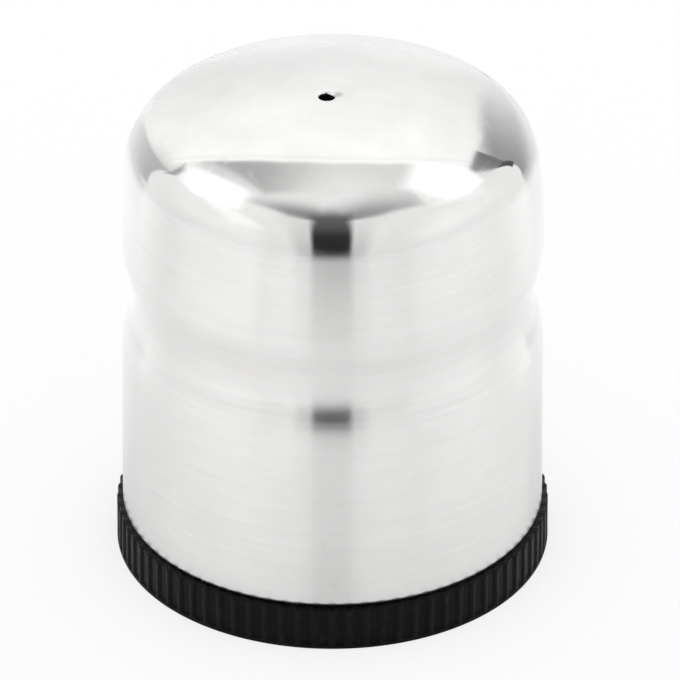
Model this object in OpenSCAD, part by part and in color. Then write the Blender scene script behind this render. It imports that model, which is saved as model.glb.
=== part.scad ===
// One-hole table shaker for salt or ground spice. A drawn steel dome with a
// rolled waist stands on a black screw base, and is filled from below.
// Millimetres, +Z up. The origin is the centre of the face it stands on.

/* [Dome] */
// Height of the whole shaker, from the table to the crown
shaker_h = 55.5; // [52:0.5:60]
// Diameter of the straight wall above the base, from which the others follow
wall_d = 45.7; // [42:0.1:50]
// Thickness of the drawn sheet
sheet_t = 0.5; // [0.4:0.1:0.7]
// How far the dome stands out beyond the straight wall
dome_out = 0.05; // [0:0.05:0.3]
// Radius of the crown, which is a shallow dish
crown_r = 52; // [48:1:60]
// Radius of the shoulder between side and crown
shoulder_r = 4.3; // [3:0.1:6]
// Radius of the side above the waist, seen from the front
side_r = 70; // [50:5:90]
// Radius with which the side rolls into the waist
brow_r = 13; // [11:0.5:18]

/* [Waist] */
// How far the waist lies inside the straight wall
waist_in = 1.1; // [0.8:0.05:1.5]
// Height of the waist above the table
waist_z = 31; // [30:0.2:32]
// Radius of the hollow below the waist
low_r = 6; // [5:0.5:7]
// Radius of the hollow above the waist
high_r = 14.5; // [12:0.5:16]
// Radius of the rolled edge under the hollow
roll_r = 8; // [6:0.5:10]
// How far the arc of the rolled edge lies inside the straight wall
tuck = 0.05; // [0.02:0.01:0.1]
// Radius with which the straight wall eases into the rolled edge
ease_r = 20; // [15:1:30]

/* [Pour hole] */
// Diameter of the punched hole
hole_d = 1.7; // [1.2:0.1:3]
// How far the punch struck beside the axis
hole_shift = 0.6; // [0:0.1:1]

/* [Mouth] */
// Gap between the steel edge and the base when the base is screwed home
mouth_gap = 0.05; // [0.05:0.05:0.2]
// Outside radius of the bend where the edge turns in
bend_r = 0.6; // [0.6:0.1:1]
// Width of the turned-in edge
lip_w = 1.55; // [1.2:0.05:1.6]

/* [Base] */
// Height of the ribbed edge
base_h = 4.9; // [4.5:0.1:5.5]
// How far the base stands out beyond the steel between its ribs
ledge = 0.4; // [0.3:0.05:0.6]
// Number of ribs
rib_count = 80; // [60:2:90]
// Width of a rib at its root
rib_w = 1; // [0.6:0.1:1.2]
// How far a rib stands out
rib_h = 0.25; // [0.15:0.05:0.35]
// Edge broken between the ribs at the top
edge_break = 0.05; // [0.05:0.05:0.15]
// Height of the plain band under the ribs
foot_h = 0.4; // [0.3:0.1:0.8]
// Bevel at the foot of the plain band
foot_bevel = 0.15; // [0.1:0.05:0.2]
// Underside of the floor, above the table
floor_z = 1.2; // [1:0.1:1.5]
// Thickness of the floor
floor_t = 1.8; // [1.4:0.1:2.2]
// Radius of the fillet inside the cup
fillet_r = 1.2; // [0.6:0.2:1.6]
// Wall of the outer skirt, measured between the ribs
skirt_t = 1.65; // [1.4:0.05:1.8]
// Thickness of the flange over the hollow of the skirt
flange_t = 1.6; // [1.4:0.1:2]
// Number of stiffening webs under the flange
web_count = 12; // [8:1:16]
// Thickness of a web
web_t = 0.9; // [0.7:0.1:1.2]
// How far the webs stay above the table
web_z = 0.6; // [0.4:0.1:0.8]

/* [Thread] */
// Rise in one turn
turn_h = 2.5; // [2.2:0.05:3]
// How far a ridge stands out
ridge_h = 0.95; // [0.8:0.05:1.1]
// Width of a ridge at its root
root_w = 1.3; // [1:0.1:1.4]
// Width of a ridge at its crest
crest_w = 0.7; // [0.5:0.1:0.8]
// Turns on the spigot
male_turns = 1.5; // [1.25:0.25:2]
// Turns in the collar
female_turns = 1.25; // [1:0.25:1.25]
// Part of a turn over which each end of a ridge fades out
fade = 0.12; // [0.08:0.02:0.16]
// Clearance between a crest and the wall it faces
crest_gap = 0.25; // [0.2:0.05:0.35]
// Clearance on the flanks that bear when the base is tight
flank_gap = 0.1; // [0.08:0.02:0.16]

/* [Spigot] */
// Wall of the spigot under the thread
spigot_t = 1.8; // [1.5:0.1:2.2]
// Height of the plain land that centres the collar
land_h = 1.6; // [1.2:0.1:2]
// Height of the first ridge's centre above the land
start_h = 1.4; // [1.4:0.1:2]
// Height of the plain rim above the last ridge
rim_h = 0.7; // [0.7:0.1:1.2]
// Bevel on the outside of the rim
rim_bevel = 0.5; // [0.3:0.1:0.5]

/* [Collar] */
// Wall of the collar around the thread
collar_t = 1.73; // [1.5:0.01:2]
// Clearance between the collar and the steel around it
press_gap = 0.02; // [0.01:0.01:0.04]
// Running clearance of the plain land in the bore
land_gap = 0.08; // [0.05:0.01:0.1]
// Bevel at the foot of the collar
collar_bevel = 0.4; // [0.3:0.1:0.5]
// Thickness of the inner lip at its edge
lip_t = 1.2; // [1:0.1:1.5]
// Slope of the funnel above the lip, in degrees
funnel_slope = 35; // [25:5:40]
// Width of the collar's top edge
top_w = 0.5; // [0.3:0.1:0.8]

/* [Seal] */
// Thickness of the seal ring
seal_t = 0.8; // [0.6:0.1:1]
// How far the seal reaches into its groove beyond the bore
seal_catch = 0.1; // [0.05:0.05:0.15]
// Clearance around the seal in its groove
seal_gap = 0.1; // [0.05:0.05:0.15]
// How far the seal and the collar's lip stand back from the neck
lip_back = 0.3; // [0.2:0.1:0.5]

/* [Hidden] */
$fn = 180;
// Segments in one turn of a ridge
turn_steps = 48;
// How deep the root of a ridge is sunk in its wall
sunk = 0.3;
// Part of its height that a ridge keeps at its faded ends
fade_left = 0.2;
// Largest gap between an arc of an outline and the chords that stand for it
chord_gap = 0.01;
// Overlap of joined shapes and overshoot of cuts
eps = 0.01;
over = 1;
// Gate mark in the middle of the underside
gate_d = 3;
gate_h = 0.3;

// Radii, from the outside in
wall_r = wall_d / 2;
dome_r = wall_r + dome_out;
base_r = wall_r + ledge;
crest_r = base_r + rib_h;
collar_r = wall_r - sheet_t - press_gap;
bore_r = collar_r - collar_t;
groove_r = bore_r + seal_catch + seal_gap;
core_r = bore_r - crest_gap - ridge_h;
neck_r = core_r - spigot_t;
seal_r = neck_r + lip_back;

// Heights, from the table up
mouth_z = base_h + mouth_gap;
collar_z = mouth_z + sheet_t;
land_z = base_h + land_h;
ridge_z = land_z + start_h;
spigot_z = ridge_z + turn_h * male_turns + root_w / 2 + rim_h;
lip_z = spigot_z + seal_t;
// The collar's ridge lies under the spigot's ridge, a mean ridge width and the play down
ridge_drop = (root_w + crest_w) / 2 + flank_gap;
// Angle at which the collar's ridge starts
female_start = 90;

// Centres of the arcs of the dome's outline, from the wall up to the crown
function rise(reach, run) = sqrt(reach * reach - run * run);
waist_x = wall_r - waist_in;
low_c = [waist_x + low_r, waist_z];
high_c = [waist_x + high_r, waist_z];
roll_x = wall_r - tuck - roll_r;
roll_c = [roll_x, waist_z - rise(roll_r + low_r, low_c.x - roll_x)];
ease_x = wall_r - ease_r;
ease_c = [ease_x, roll_c.y - rise(ease_r - roll_r, roll_x - ease_x)];
brow_x = dome_r - brow_r;
brow_c = [brow_x, waist_z + rise(brow_r + high_r, high_c.x - brow_x)];
side_c = [dome_r - side_r, brow_c.y];
crown_c = [0, shaker_h - crown_r];
shoulder_c = meet(side_c, side_r - shoulder_r, crown_c, crown_r - shoulder_r);
bend_c = [wall_r - bend_r, mouth_z + bend_r];

// Slopes at which one arc runs into the next, as the angle of the outward normal
ease_end = slope(ease_c, roll_c);
roll_end = slope(roll_c, low_c);
waist_end = slope(brow_c, high_c);
side_end = slope(side_c, shoulder_c);
shoulder_end = slope(crown_c, shoulder_c);

// Right-hand point where two circles cross
function meet(a, ra, b, rb) =
    let (
        d = norm(b - a),
        u = (b - a) / d,
        m = (ra * ra - rb * rb + d * d) / (2 * d),
        h = sqrt(ra * ra - m * m)
    )
    a + m * u + h * [abs(u.y), abs(u.x)];

// Direction from one point to another, in degrees
function slope(from, to) = atan2(to.y - from.y, to.x - from.x);

// Arc about c between two normal angles, without its first point. A negative
// radius is a hollow, and t sets the arc inward of the face it belongs to.
function arc(c, r, a0, a1, t = 0) =
    let (n = ceil(abs(a1 - a0) / (2 * acos(1 - chord_gap / abs(r)))))
    [for (i = [1 : n]) let (a = a0 + (a1 - a0) * i / n) c + (r - t) * [cos(a), sin(a)]];

// Half outline of the dome from the edge of its lip to the crown, t inside its outer face
function outline(t) = concat(
    [[wall_r - lip_w, mouth_z + t], [bend_c.x, mouth_z + t]],
    arc(bend_c, bend_r, -90, 0, t),
    [[wall_r - t, ease_c.y]],
    arc(ease_c, ease_r, 0, ease_end, t),
    arc(roll_c, roll_r, ease_end, roll_end, t),
    arc(low_c, -low_r, roll_end, 0, t),
    arc(high_c, -high_r, 0, waist_end, t),
    arc(brow_c, brow_r, waist_end, 0, t),
    arc(side_c, side_r, 0, side_end, t),
    arc(shoulder_c, shoulder_r, side_end, shoulder_end, t),
    arc(crown_c, crown_r, shoulder_end, 90, t)
);

function reverse(list) = [for (i = [len(list) - 1 : -1 : 0]) list[i]];

// Ridge of a screw thread, right-hand, swept along a helix with faded ends.
// It stands out from the root radius when way is 1, and inward when way is -1.
module ridge(root, way, z0, a0, turns) {
    steps = round(turns * turn_steps);
    flank = (root_w - crest_w) / 2 / ridge_h;
    foot = root_w / 2 + flank * sunk;
    function part(i) = min(i, steps - i) / turn_steps / fade;
    function tall(i) = ridge_h * min(1, fade_left + (1 - fade_left) * part(i));
    function half(i) = root_w / 2 - flank * tall(i);
    function spot(i, r, dz) = [
        r * cos(a0 + 360 * i / turn_steps),
        r * sin(a0 + 360 * i / turn_steps),
        z0 + turn_h * i / turn_steps + dz * way
    ];
    rings = [for (i = [0 : steps]) each [
        spot(i, root - way * sunk, -foot),
        spot(i, root + way * tall(i), -half(i)),
        spot(i, root + way * tall(i), half(i)),
        spot(i, root - way * sunk, foot)
    ]];
    sides = [for (i = [0 : steps - 1], k = [0 : 3]) each let (
        a = 4 * i + k,
        b = 4 * i + (k + 1) % 4
    ) [[a, b, a + 4], [b, b + 4, a + 4]]];
    last = 4 * steps;
    ends = [[0, 2, 1], [0, 3, 2], [last, last + 1, last + 2], [last, last + 2, last + 3]];
    polyhedron(rings, concat(sides, ends));
}

// Drawn dome with its rolled waist, turned-in mouth and punched pour hole
module shell() {
    color("silver") difference() {
        rotate_extrude() polygon(concat(outline(0), reverse(outline(sheet_t))));
        translate([-hole_shift, 0, 0]) cylinder(d = hole_d, h = shaker_h + over);
    }
}

// Collar pressed into the steel: female thread, seal groove and funnel lip
module threaded_collar() {
    funnel_z = lip_z + lip_t;
    funnel_r = collar_r - top_w;
    top_z = funnel_z + (funnel_r - seal_r) * tan(funnel_slope);
    color("dimgray") {
        rotate_extrude() polygon([
            [bore_r, collar_z],
            [collar_r - collar_bevel, collar_z],
            [collar_r, collar_z + collar_bevel],
            [collar_r, top_z],
            [funnel_r, top_z],
            [seal_r, funnel_z],
            [seal_r, lip_z],
            [groove_r, lip_z],
            [groove_r, spigot_z - seal_gap],
            [bore_r, spigot_z - seal_gap]
        ]);
        low_z = ridge_z - ridge_drop;
        ridge(bore_r, -1, low_z + turn_h * female_start / 360, female_start, female_turns);
    }
}

// Flat ring in the collar's groove, pressed by the rim of the spigot
module seal_ring() {
    color("white") rotate_extrude()
        translate([seal_r, spigot_z])
            square([bore_r + seal_catch - seal_r, seal_t]);
}

// Outline of the ribbed edge, seen from above
module ribbed_edge() {
    circle(r = base_r);
    rib_r = (rib_w * rib_w / 4 + rib_h * rib_h) / (2 * rib_h);
    for (i = [0 : rib_count - 1])
        rotate(i * 360 / rib_count - 90) translate([crest_r - rib_r, 0]) circle(r = rib_r, $fn = 24);
}

// Section that the ribbed edge is cut to, bevelled at its foot and over the ribs
module edge_section() {
    chamfer = rib_h + edge_break;
    polygon([
        [0, 0],
        [crest_r - foot_bevel, 0],
        [crest_r, foot_bevel],
        [crest_r, base_h - chamfer],
        [crest_r - chamfer, base_h],
        [0, base_h]
    ]);
}

// Section of the land that centres the collar and of the spigot above it
module spigot_section() {
    polygon([
        [0, base_h - over],
        [bore_r - land_gap, base_h - over],
        [bore_r - land_gap, land_z],
        [core_r, land_z],
        [core_r, spigot_z - rim_bevel],
        [core_r - rim_bevel, spigot_z],
        [0, spigot_z]
    ]);
}

// Screw base: ribbed skirt, flange, threaded spigot and the floor of the shaker
module screw_base() {
    color("#1c1c1d") {
        difference() {
            union() {
                intersection() {
                    union() {
                        linear_extrude(base_h) ribbed_edge();
                        cylinder(r = crest_r + over, h = foot_h);
                    }
                    rotate_extrude() edge_section();
                }
                rotate_extrude() spigot_section();
            }
            rotate_extrude() cup();
            rotate_extrude() underside();
        }
        webs();
        translate([0, 0, floor_z - gate_h]) cylinder(d = gate_d, h = gate_h + eps);
        ridge(core_r, 1, ridge_z, 0, male_turns);
    }
}

// Hollow of the spigot down to the floor, with a filleted corner
module cup() {
    deep = floor_z + floor_t;
    corner = [neck_r - fillet_r, deep + fillet_r];
    polygon(concat(
        [[0, spigot_z + over], [0, deep], [corner.x, deep]],
        arc(corner, fillet_r, -90, 0),
        [[neck_r, spigot_z + over]]
    ));
}

// Recess under the floor and the hollow of the skirt around it
module underside() {
    skirt_r = base_r - skirt_t;
    translate([0, -over]) square([skirt_r, floor_z + over]);
    translate([core_r, -over]) square([skirt_r - core_r, base_h - flange_t + over]);
}

// Stiffening webs between the skirt and the foot of the spigot
module webs() {
    skirt_r = base_r - skirt_t;
    reach = skirt_r - core_r + 2 * sunk;
    tall = base_h - flange_t - web_z + eps;
    for (i = [0 : web_count - 1])
        rotate(i * 360 / web_count)
            translate([core_r - sunk, -web_t / 2, web_z])
                cube([reach, web_t, tall]);
}

shell();
threaded_collar();
seal_ring();
screw_base();
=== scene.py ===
# %% [markdown]
# # A steel spice shaker on its ribbed screw base
#
# The shaker has two halves. The upper one is a dome drawn from stainless sheet, with a rolled
# waist and one pour hole. A plastic collar is pressed into its mouth. The lower one is a black
# moulded base whose thread screws up into that collar, with a soft ring sealing the joint.
#
# The measured model is loaded first as a fixed frame. Every piece made below is put in the same
# place as the solid that it stands for, so nothing has to be fitted by eye.

# %% Load the frame
import math
import bpy
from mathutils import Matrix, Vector


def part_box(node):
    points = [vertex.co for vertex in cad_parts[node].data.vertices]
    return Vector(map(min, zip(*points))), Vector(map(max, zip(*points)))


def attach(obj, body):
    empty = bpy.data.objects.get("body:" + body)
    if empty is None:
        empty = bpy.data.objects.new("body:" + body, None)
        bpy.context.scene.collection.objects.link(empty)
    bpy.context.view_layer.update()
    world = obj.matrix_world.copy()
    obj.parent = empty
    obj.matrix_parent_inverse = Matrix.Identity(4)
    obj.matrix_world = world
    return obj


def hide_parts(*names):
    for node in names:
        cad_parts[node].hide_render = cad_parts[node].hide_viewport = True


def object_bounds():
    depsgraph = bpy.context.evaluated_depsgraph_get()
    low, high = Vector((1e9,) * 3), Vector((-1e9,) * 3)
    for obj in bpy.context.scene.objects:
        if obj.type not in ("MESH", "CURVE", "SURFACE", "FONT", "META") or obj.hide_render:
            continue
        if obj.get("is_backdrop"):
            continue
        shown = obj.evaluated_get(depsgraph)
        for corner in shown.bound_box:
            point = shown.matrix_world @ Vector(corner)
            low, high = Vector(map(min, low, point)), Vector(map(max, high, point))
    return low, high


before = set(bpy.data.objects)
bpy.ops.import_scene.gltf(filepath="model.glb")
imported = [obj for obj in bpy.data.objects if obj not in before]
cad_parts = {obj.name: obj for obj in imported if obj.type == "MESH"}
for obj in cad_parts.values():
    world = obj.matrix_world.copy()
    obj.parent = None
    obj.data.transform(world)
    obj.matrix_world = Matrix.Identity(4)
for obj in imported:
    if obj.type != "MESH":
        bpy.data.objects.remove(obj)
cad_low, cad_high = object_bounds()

MM = 0.001

# %% [markdown]
# ## Sizes
#
# A lathe-made or moulded round part is described by a few radii and heights. Those that the
# frame can give are read from its boxes, in millimetres, so that they follow the solids. The
# rest are the small radii of bends and edges that a box can't show.

# %% Read the main sizes from the frame
def box_mm(node):
    """Low and high corner of a node's box, in millimetres."""
    low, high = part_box(node)
    return [v / MM for v in low], [v / MM for v in high]

dome_low, dome_high = box_mm("shell")
base_low, base_high = box_mm("screw_base")
mouth_z, crown_z = dome_low[2], dome_high[2]
dome_r = dome_high[0]
crest_r = (base_high[1] - base_low[1]) / 2
spigot_z = base_high[2]
print(f"dome radius {dome_r:.2f} mm, height {crown_z:.2f} mm, mouth at {mouth_z:.2f} mm")
print(f"base radius over the ribs {crest_r:.2f} mm, spigot up to {spigot_z:.2f} mm")

# %% [markdown]
# ## Arcs that run into each other
#
# A drawn and rolled wall has no corners: each bend runs smoothly into the next. A Bezier curve
# drawn by hand would leave small flats that polished steel shows at once. The half outline is
# therefore a chain of arcs that share a tangent where they meet. Given two radii and one
# coordinate of the next centre, the other coordinate follows from Pythagoras.

# %% Helpers for outlines
def rise(reach, run):
    """Other side of a right triangle with the long side reach."""
    return math.sqrt(reach * reach - run * run)

def slope(start, end):
    """Direction from one centre to another, in radians."""
    return math.atan2(end[1] - start[1], end[0] - start[0])

def arc(centre, radius, start, end, gap):
    """Points of an arc about gap apart, without the first. A negative radius is a hollow."""
    count = max(2, math.ceil(abs(radius * (end - start)) / gap))
    angles = [start + (end - start) * i / count for i in range(1, count + 1)]
    return [(centre[0] + radius * math.cos(a), centre[1] + radius * math.sin(a)) for a in angles]

def line(start, end, gap):
    """Points of a straight run about gap apart, without the first."""
    count = max(1, math.ceil(math.dist(start, end) / gap))
    return [tuple(start[k] + (end[k] - start[k]) * i / count for k in (0, 1))
            for i in range(1, count + 1)]

def meet(a, ra, b, rb):
    """Right-hand point where two circles cross."""
    gap = math.dist(a, b)
    ux, uy = (b[0] - a[0]) / gap, (b[1] - a[1]) / gap
    m = (ra * ra - rb * rb + gap * gap) / (2 * gap)
    h = math.sqrt(ra * ra - m * m)
    return a[0] + m * ux + h * abs(uy), a[1] + m * uy + h * abs(ux)

# %% Radii of the dome's bends, from the mouth up
sheet_t = 0.5
lip_w, bend_r = 1.55, 0.6
ease_r, roll_r, low_r, high_r = 20, 8, 6, 14.5
brow_r, side_r, shoulder_r, crown_r = 13, 70, 4.3, 52
waist_in, waist_z = 1.1, 31
wall_in, roll_in = 0.05, 0.05
print(f"waist {waist_in} mm deep at a height of {waist_z} mm, crown radius {crown_r} mm")

# %% Centres of the dome's arcs
wall_r = dome_r - wall_in
waist_x = wall_r - waist_in
low_c = (waist_x + low_r, waist_z)
high_c = (waist_x + high_r, waist_z)
roll_x = wall_r - roll_in - roll_r
roll_c = (roll_x, waist_z - rise(roll_r + low_r, low_c[0] - roll_x))
ease_x = wall_r - ease_r
ease_c = (ease_x, roll_c[1] - rise(ease_r - roll_r, roll_x - ease_x))
brow_x = dome_r - brow_r
brow_c = (brow_x, waist_z + rise(brow_r + high_r, high_c[0] - brow_x))
side_c = (dome_r - side_r, brow_c[1])
crown_c = (0, crown_z - crown_r)
shoulder_c = meet(side_c, side_r - shoulder_r, crown_c, crown_r - shoulder_r)
bend_c = (wall_r - bend_r, mouth_z + bend_r)
print(f"shoulder centre at r {shoulder_c[0]:.2f}, z {shoulder_c[1]:.2f} mm")

# %% [markdown]
# ## The dome's sheet
#
# The sheet is 0.5 mm thick. A Solidify modifier could thicken one skin, but here the outer face
# is one chain of arcs and the inner face is the same chain set inward, so both come from one
# function and stay true arcs. Reflections in the steel show every flat, so the outer face gets a
# ring of vertices about every 0.3 mm and the hidden inner face far fewer.

# %% Outline of one face of the sheet
edge_r = 0.15
blend_r = 4.0

def face_outline(inset, gap):
    """Points (r, z) of one face of the sheet, from the edge of its lip to near the pour hole."""
    ease_end, roll_end = slope(ease_c, roll_c), slope(roll_c, low_c)
    waist_end, side_end = slope(brow_c, high_c), slope(side_c, shoulder_c)
    shoulder_end = slope(crown_c, shoulder_c)
    blend = math.acos(blend_r / (crown_r - inset))
    lip = (wall_r - lip_w + edge_r, mouth_z + inset)
    foot = (bend_c[0], mouth_z + inset)
    top = (wall_r - inset, ease_c[1])
    points = [lip] + line(lip, foot, gap)
    points += arc(bend_c, bend_r - inset, -math.pi / 2, 0, gap / 2)
    points += line(points[-1], top, 2 * gap)
    points += arc(ease_c, ease_r - inset, 0, ease_end, gap)
    points += arc(roll_c, roll_r - inset, ease_end, roll_end, gap)
    points += arc(low_c, -low_r - inset, roll_end, 0, gap)
    points += arc(high_c, -high_r - inset, 0, waist_end, gap)
    points += arc(brow_c, brow_r - inset, waist_end, 0, gap)
    points += arc(side_c, side_r - inset, 0, side_end, gap)
    points += arc(shoulder_c, shoulder_r - inset, side_end, shoulder_end, gap / 2)
    points += arc(crown_c, crown_r - inset, shoulder_end, blend, gap)
    return points

outer_face = face_outline(inset=0, gap=0.34)
inner_face = face_outline(inset=sheet_t, gap=1.1)
print(f"outer face {len(outer_face)} rings, inner face {len(inner_face)} rings")

# %% [markdown]
# ## The pour hole
#
# The hole is punched from outside a little off the centre. A punch drags the surface down round
# the hole and leaves a rounded rim outside and a sharper one inside. A Boolean cut would leave
# long thin faces that spoil the reflections. Instead the rings of vertices near the top slide
# from circles about the axis to circles about the hole, so that the mesh stays a plain grid of
# rings all the way from the lip to the hole and back.

# %% Shape of the hole
hole_r, hole_shift = 0.85, 0.6
rim_r, burr_r = 0.12, 0.05
dimple_h, dimple_w = 0.07, 0.4
oval, oval_turn = 0.03, 0.5
tear_in, drag_w, drag_way = 0.13, 0.25, 0.75

def lobe(a, sharp):
    """Swell towards the side that the punch dragged; a larger sharp makes it narrower."""
    return max(0, math.cos(a - drag_way)) ** sharp

def torn(a):
    """How far the opening's edge departs from a circle, in mm."""
    return oval * math.cos(2 * a + oval_turn) - tear_in * lobe(a, 6)

def drag(a):
    """Extra width of the rounded rim where the punch dragged the sheet."""
    return drag_w * lobe(a, 3)

print(f"hole {2 * hole_r} mm wide, {hole_shift} mm off the axis")

# %% Rings about the axis that slide to the hole
ring_n = 256

def shift_at(radius):
    """How far a ring of that radius has slid towards the hole."""
    t = min(1, max(0, (blend_r - radius) / (blend_r - hole_r)))
    return -hole_shift * t * t * (3 - 2 * t)

def ring(radius, height, out=None):
    """Ring of vertices; height is a number or a function of x and y, out adds to the radius."""
    points = []
    for i in range(ring_n):
        a = 2 * math.pi * i / ring_n
        r = radius + (out(a) if out else 0)
        x, y = shift_at(radius) + r * math.cos(a), r * math.sin(a)
        points.append((x, y, height(x, y) if callable(height) else height))
    return points

def crown_face(inset):
    """Function for the height of the crown at x, y, dished by the punch near the hole."""
    def height(x, y):
        away = math.hypot(x + hole_shift, y) - hole_r
        dish = dimple_h * math.exp(-max(0, away) / dimple_w)
        return crown_c[1] + math.sqrt((crown_r - inset) ** 2 - x * x - y * y) - dish
    return height

# %% Chain every ring of the sheet into one closed loop
outside, inside = crown_face(0), crown_face(sheet_t)
slide_n, rim_n, back_n, edge_n = 15, 8, 7, 6
rings = [ring(r, z) for r, z in outer_face]
for k in range(1, slide_n):
    t = (k / slide_n) ** 0.75
    rings.append(ring(blend_r + (hole_r + rim_r - blend_r) * t, outside,
                      lambda a: t ** 6 * (torn(a) + drag(a))))
for k in range(rim_n + 1):
    turn = math.pi / 2 * k / rim_n
    drop = rim_r * (1 - math.cos(turn))
    rings.append(ring(hole_r + rim_r * (1 - math.sin(turn)), lambda x, y: outside(x, y) - drop,
                      lambda a: torn(a) + drag(a) * (1 - math.sin(turn))))
rings.append(ring(hole_r, lambda x, y: inside(x, y) + burr_r, torn))
rings.append(ring(hole_r + burr_r, inside))
for k in range(1, back_n):
    rings.append(ring(hole_r + burr_r + (blend_r - hole_r - burr_r) * k / back_n, inside))
rings += [ring(r, z) for r, z in reversed(inner_face)]
edge_c = (wall_r - lip_w + edge_r, mouth_z + sheet_t / 2)
for k in range(1, edge_n):
    a = math.pi / 2 + math.pi * k / edge_n
    rings.append(ring(edge_c[0] + edge_r * math.cos(a), edge_c[1] + sheet_t / 2 * math.sin(a)))
print(f"{len(rings)} rings of {ring_n} vertices")

# %% [markdown]
# ## From rings to a mesh
#
# Each pair of neighbouring rings is joined by a band of four-sided faces. The Screw modifier
# could turn an outline too, but it can't slide rings to the hole. The length along the outline
# is kept on the vertices as an attribute. The brushing of the steel follows it later, because a
# pattern measured along the sheet stays even round every bend.

# %% Mesh from rings
def mesh_from_rings(name, rings):
    """Closed mesh in metres from rings of equal count, with the run along them on its points."""
    count = len(rings[0])
    points, run, length = [], [], 0.0
    for k, points_mm in enumerate(rings):
        if k:
            length += math.dist(points_mm[0], rings[k - 1][0])
        points += [tuple(v * MM for v in p) for p in points_mm]
        run += [length * MM] * count
    faces = []
    for k in range(len(rings)):
        a, b = k * count, (k + 1) % len(rings) * count
        for i in range(count):
            j = (i + 1) % count
            faces.append((a + i, a + j, b + j, b + i))
    mesh = bpy.data.meshes.new(name)
    mesh.from_pydata(points, [], faces)
    mesh.attributes.new("run", "FLOAT", "POINT").data.foreach_set("value", run)
    return mesh

def add_piece(name, mesh):
    """Object at the origin with smooth faces, linked to the scene."""
    mesh.shade_smooth()
    piece = bpy.data.objects.new(name, mesh)
    bpy.context.scene.collection.objects.link(piece)
    return piece

def volume_mm3(mesh):
    """Signed volume in cubic millimetres; it is positive when the faces point outwards."""
    mesh.calc_loop_triangles()
    total = 0.0
    for t in mesh.loop_triangles:
        a, b, c = (mesh.vertices[i].co for i in t.vertices)
        total += a.dot(b.cross(c)) / 6
    return total / MM ** 3

dome = add_piece("dome", mesh_from_rings("dome", rings))
print(f"dome: {len(dome.data.polygons)} faces, {volume_mm3(dome.data):.0f} mm3 of steel")

# %% [markdown]
# ## The moulded base
#
# The base is moulded in one shot from black plastic: a ribbed skirt to grip, a flange on top of
# it that the dome stands on, a spigot that carries the thread, and the floor that holds the
# spice. All of it but the ribs, the webs and the thread is turned about the axis, so it starts
# as a lathed section. A mould leaves no edge quite sharp. A Bevel modifier would give every edge
# one radius, so each corner of the section gets its own small radius instead.

# %% Round the corners of a section
def rounded(corners, gap):
    """Section through corners (r, z, radius), each corner replaced by an arc."""
    points = []
    for i, (x, y, radius) in enumerate(corners):
        if not radius:
            points.append((x, y))
            continue
        here = Vector((x, y))
        before = Vector(corners[i - 1][:2]) - here
        after = Vector(corners[(i + 1) % len(corners)][:2]) - here
        before.normalize()
        after.normalize()
        half = before.angle(after) / 2
        reach = radius / math.tan(half)
        centre = here + (before + after).normalized() * radius / math.sin(half)
        start = here + before * reach - centre
        turn = (here + after * reach - centre).angle_signed(start)
        steps = max(2, math.ceil(radius * abs(turn) / gap))
        for k in range(steps + 1):
            a = math.atan2(start.y, start.x) + turn * k / steps
            points.append((centre.x + radius * math.cos(a), centre.y + radius * math.sin(a)))
    return points

# %% Sizes of the base
base_h, rib_h, edge_break = 4.9, 0.25, 0.05
base_r = crest_r - rib_h
floor_z, floor_t, gate_r, gate_h = 1.2, 1.8, 1.5, 0.3
skirt_t, flange_t = 1.65, 1.6
skirt_r, flange_z = base_r - skirt_t, base_h - flange_t
land_r, land_h = 20.52, 1.6
land_z = base_h + land_h
core_r, neck_r, rim_bevel = 19.4, 17.6, 0.5
foot_h, foot_edge = 0.4, 0.15
rib_n, rib_w, rib_end, rib_steps = 80, 1.0, 0.18, 14
print(f"skirt radius {base_r:.2f} mm, rib pitch {2 * math.pi * base_r / rib_n:.2f} mm")

# %% Section of the base, from the axis below to the axis above
under_part = rounded([
    (gate_r, floor_z - gate_h, 0.1), (gate_r, floor_z, 0.1),
    (core_r, floor_z, 0.2), (core_r, flange_z, 0.3),
    (skirt_r, flange_z, 0.3), (skirt_r, 0, 0.2), (base_r, 0, 0)], gap=0.12)
nose_h = rib_h + edge_break
above_foot = (0, 0.03, 0.07, 0.12, 0.2)
levels = [0.02, 0.05, 0.1, foot_edge, 0.3] + [foot_h + up for up in above_foot]
levels += [1.5, base_h / 2, 3.5]
levels += [base_h - nose_h * (1 - math.cos(math.pi / 12 * k)) for k in (6, 5, 4, 3, 2, 1)]
grip_part = [(base_r + min(0, base_h - edge_break - z), z) for z in levels]
over_part = rounded([
    (base_r - edge_break, base_h, 0), (land_r, base_h, 0.1), (land_r, land_z, 0.2),
    (core_r, land_z, 0.15), (core_r, spigot_z - rim_bevel, 0.15),
    (core_r - rim_bevel, spigot_z, 0.15), (neck_r, spigot_z, 0.3),
    (neck_r, floor_z + floor_t, 1.2), (0, floor_z + floor_t, 0)], gap=0.16)
section = [(0, floor_z - gate_h)] + under_part + grip_part + over_part

# %% Lathe the section
def lathe(name, section, steps):
    """Closed mesh turned about the axis from a section that starts and ends on it."""
    points = [(0, 0, section[0][1] * MM), (0, 0, section[-1][1] * MM)]
    for r, z in section[1:-1]:
        points += [(r * MM * math.cos(2 * math.pi * i / steps),
                    r * MM * math.sin(2 * math.pi * i / steps), z * MM) for i in range(steps)]
    faces, last = [], 2 + (len(section) - 3) * steps
    for i in range(steps):
        j = (i + 1) % steps
        faces += [(0, 2 + j, 2 + i), (1, last + i, last + j)]
        for k in range(2, last, steps):
            faces.append((k + i, k + j, k + steps + j, k + steps + i))
    mesh = bpy.data.meshes.new(name)
    mesh.from_pydata(points, [], faces)
    return mesh

blank = lathe("base_blank", section, rib_n * rib_steps)
print(f"base blank: {len(section)} rings, {volume_mm3(blank):.0f} mm3")

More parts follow.
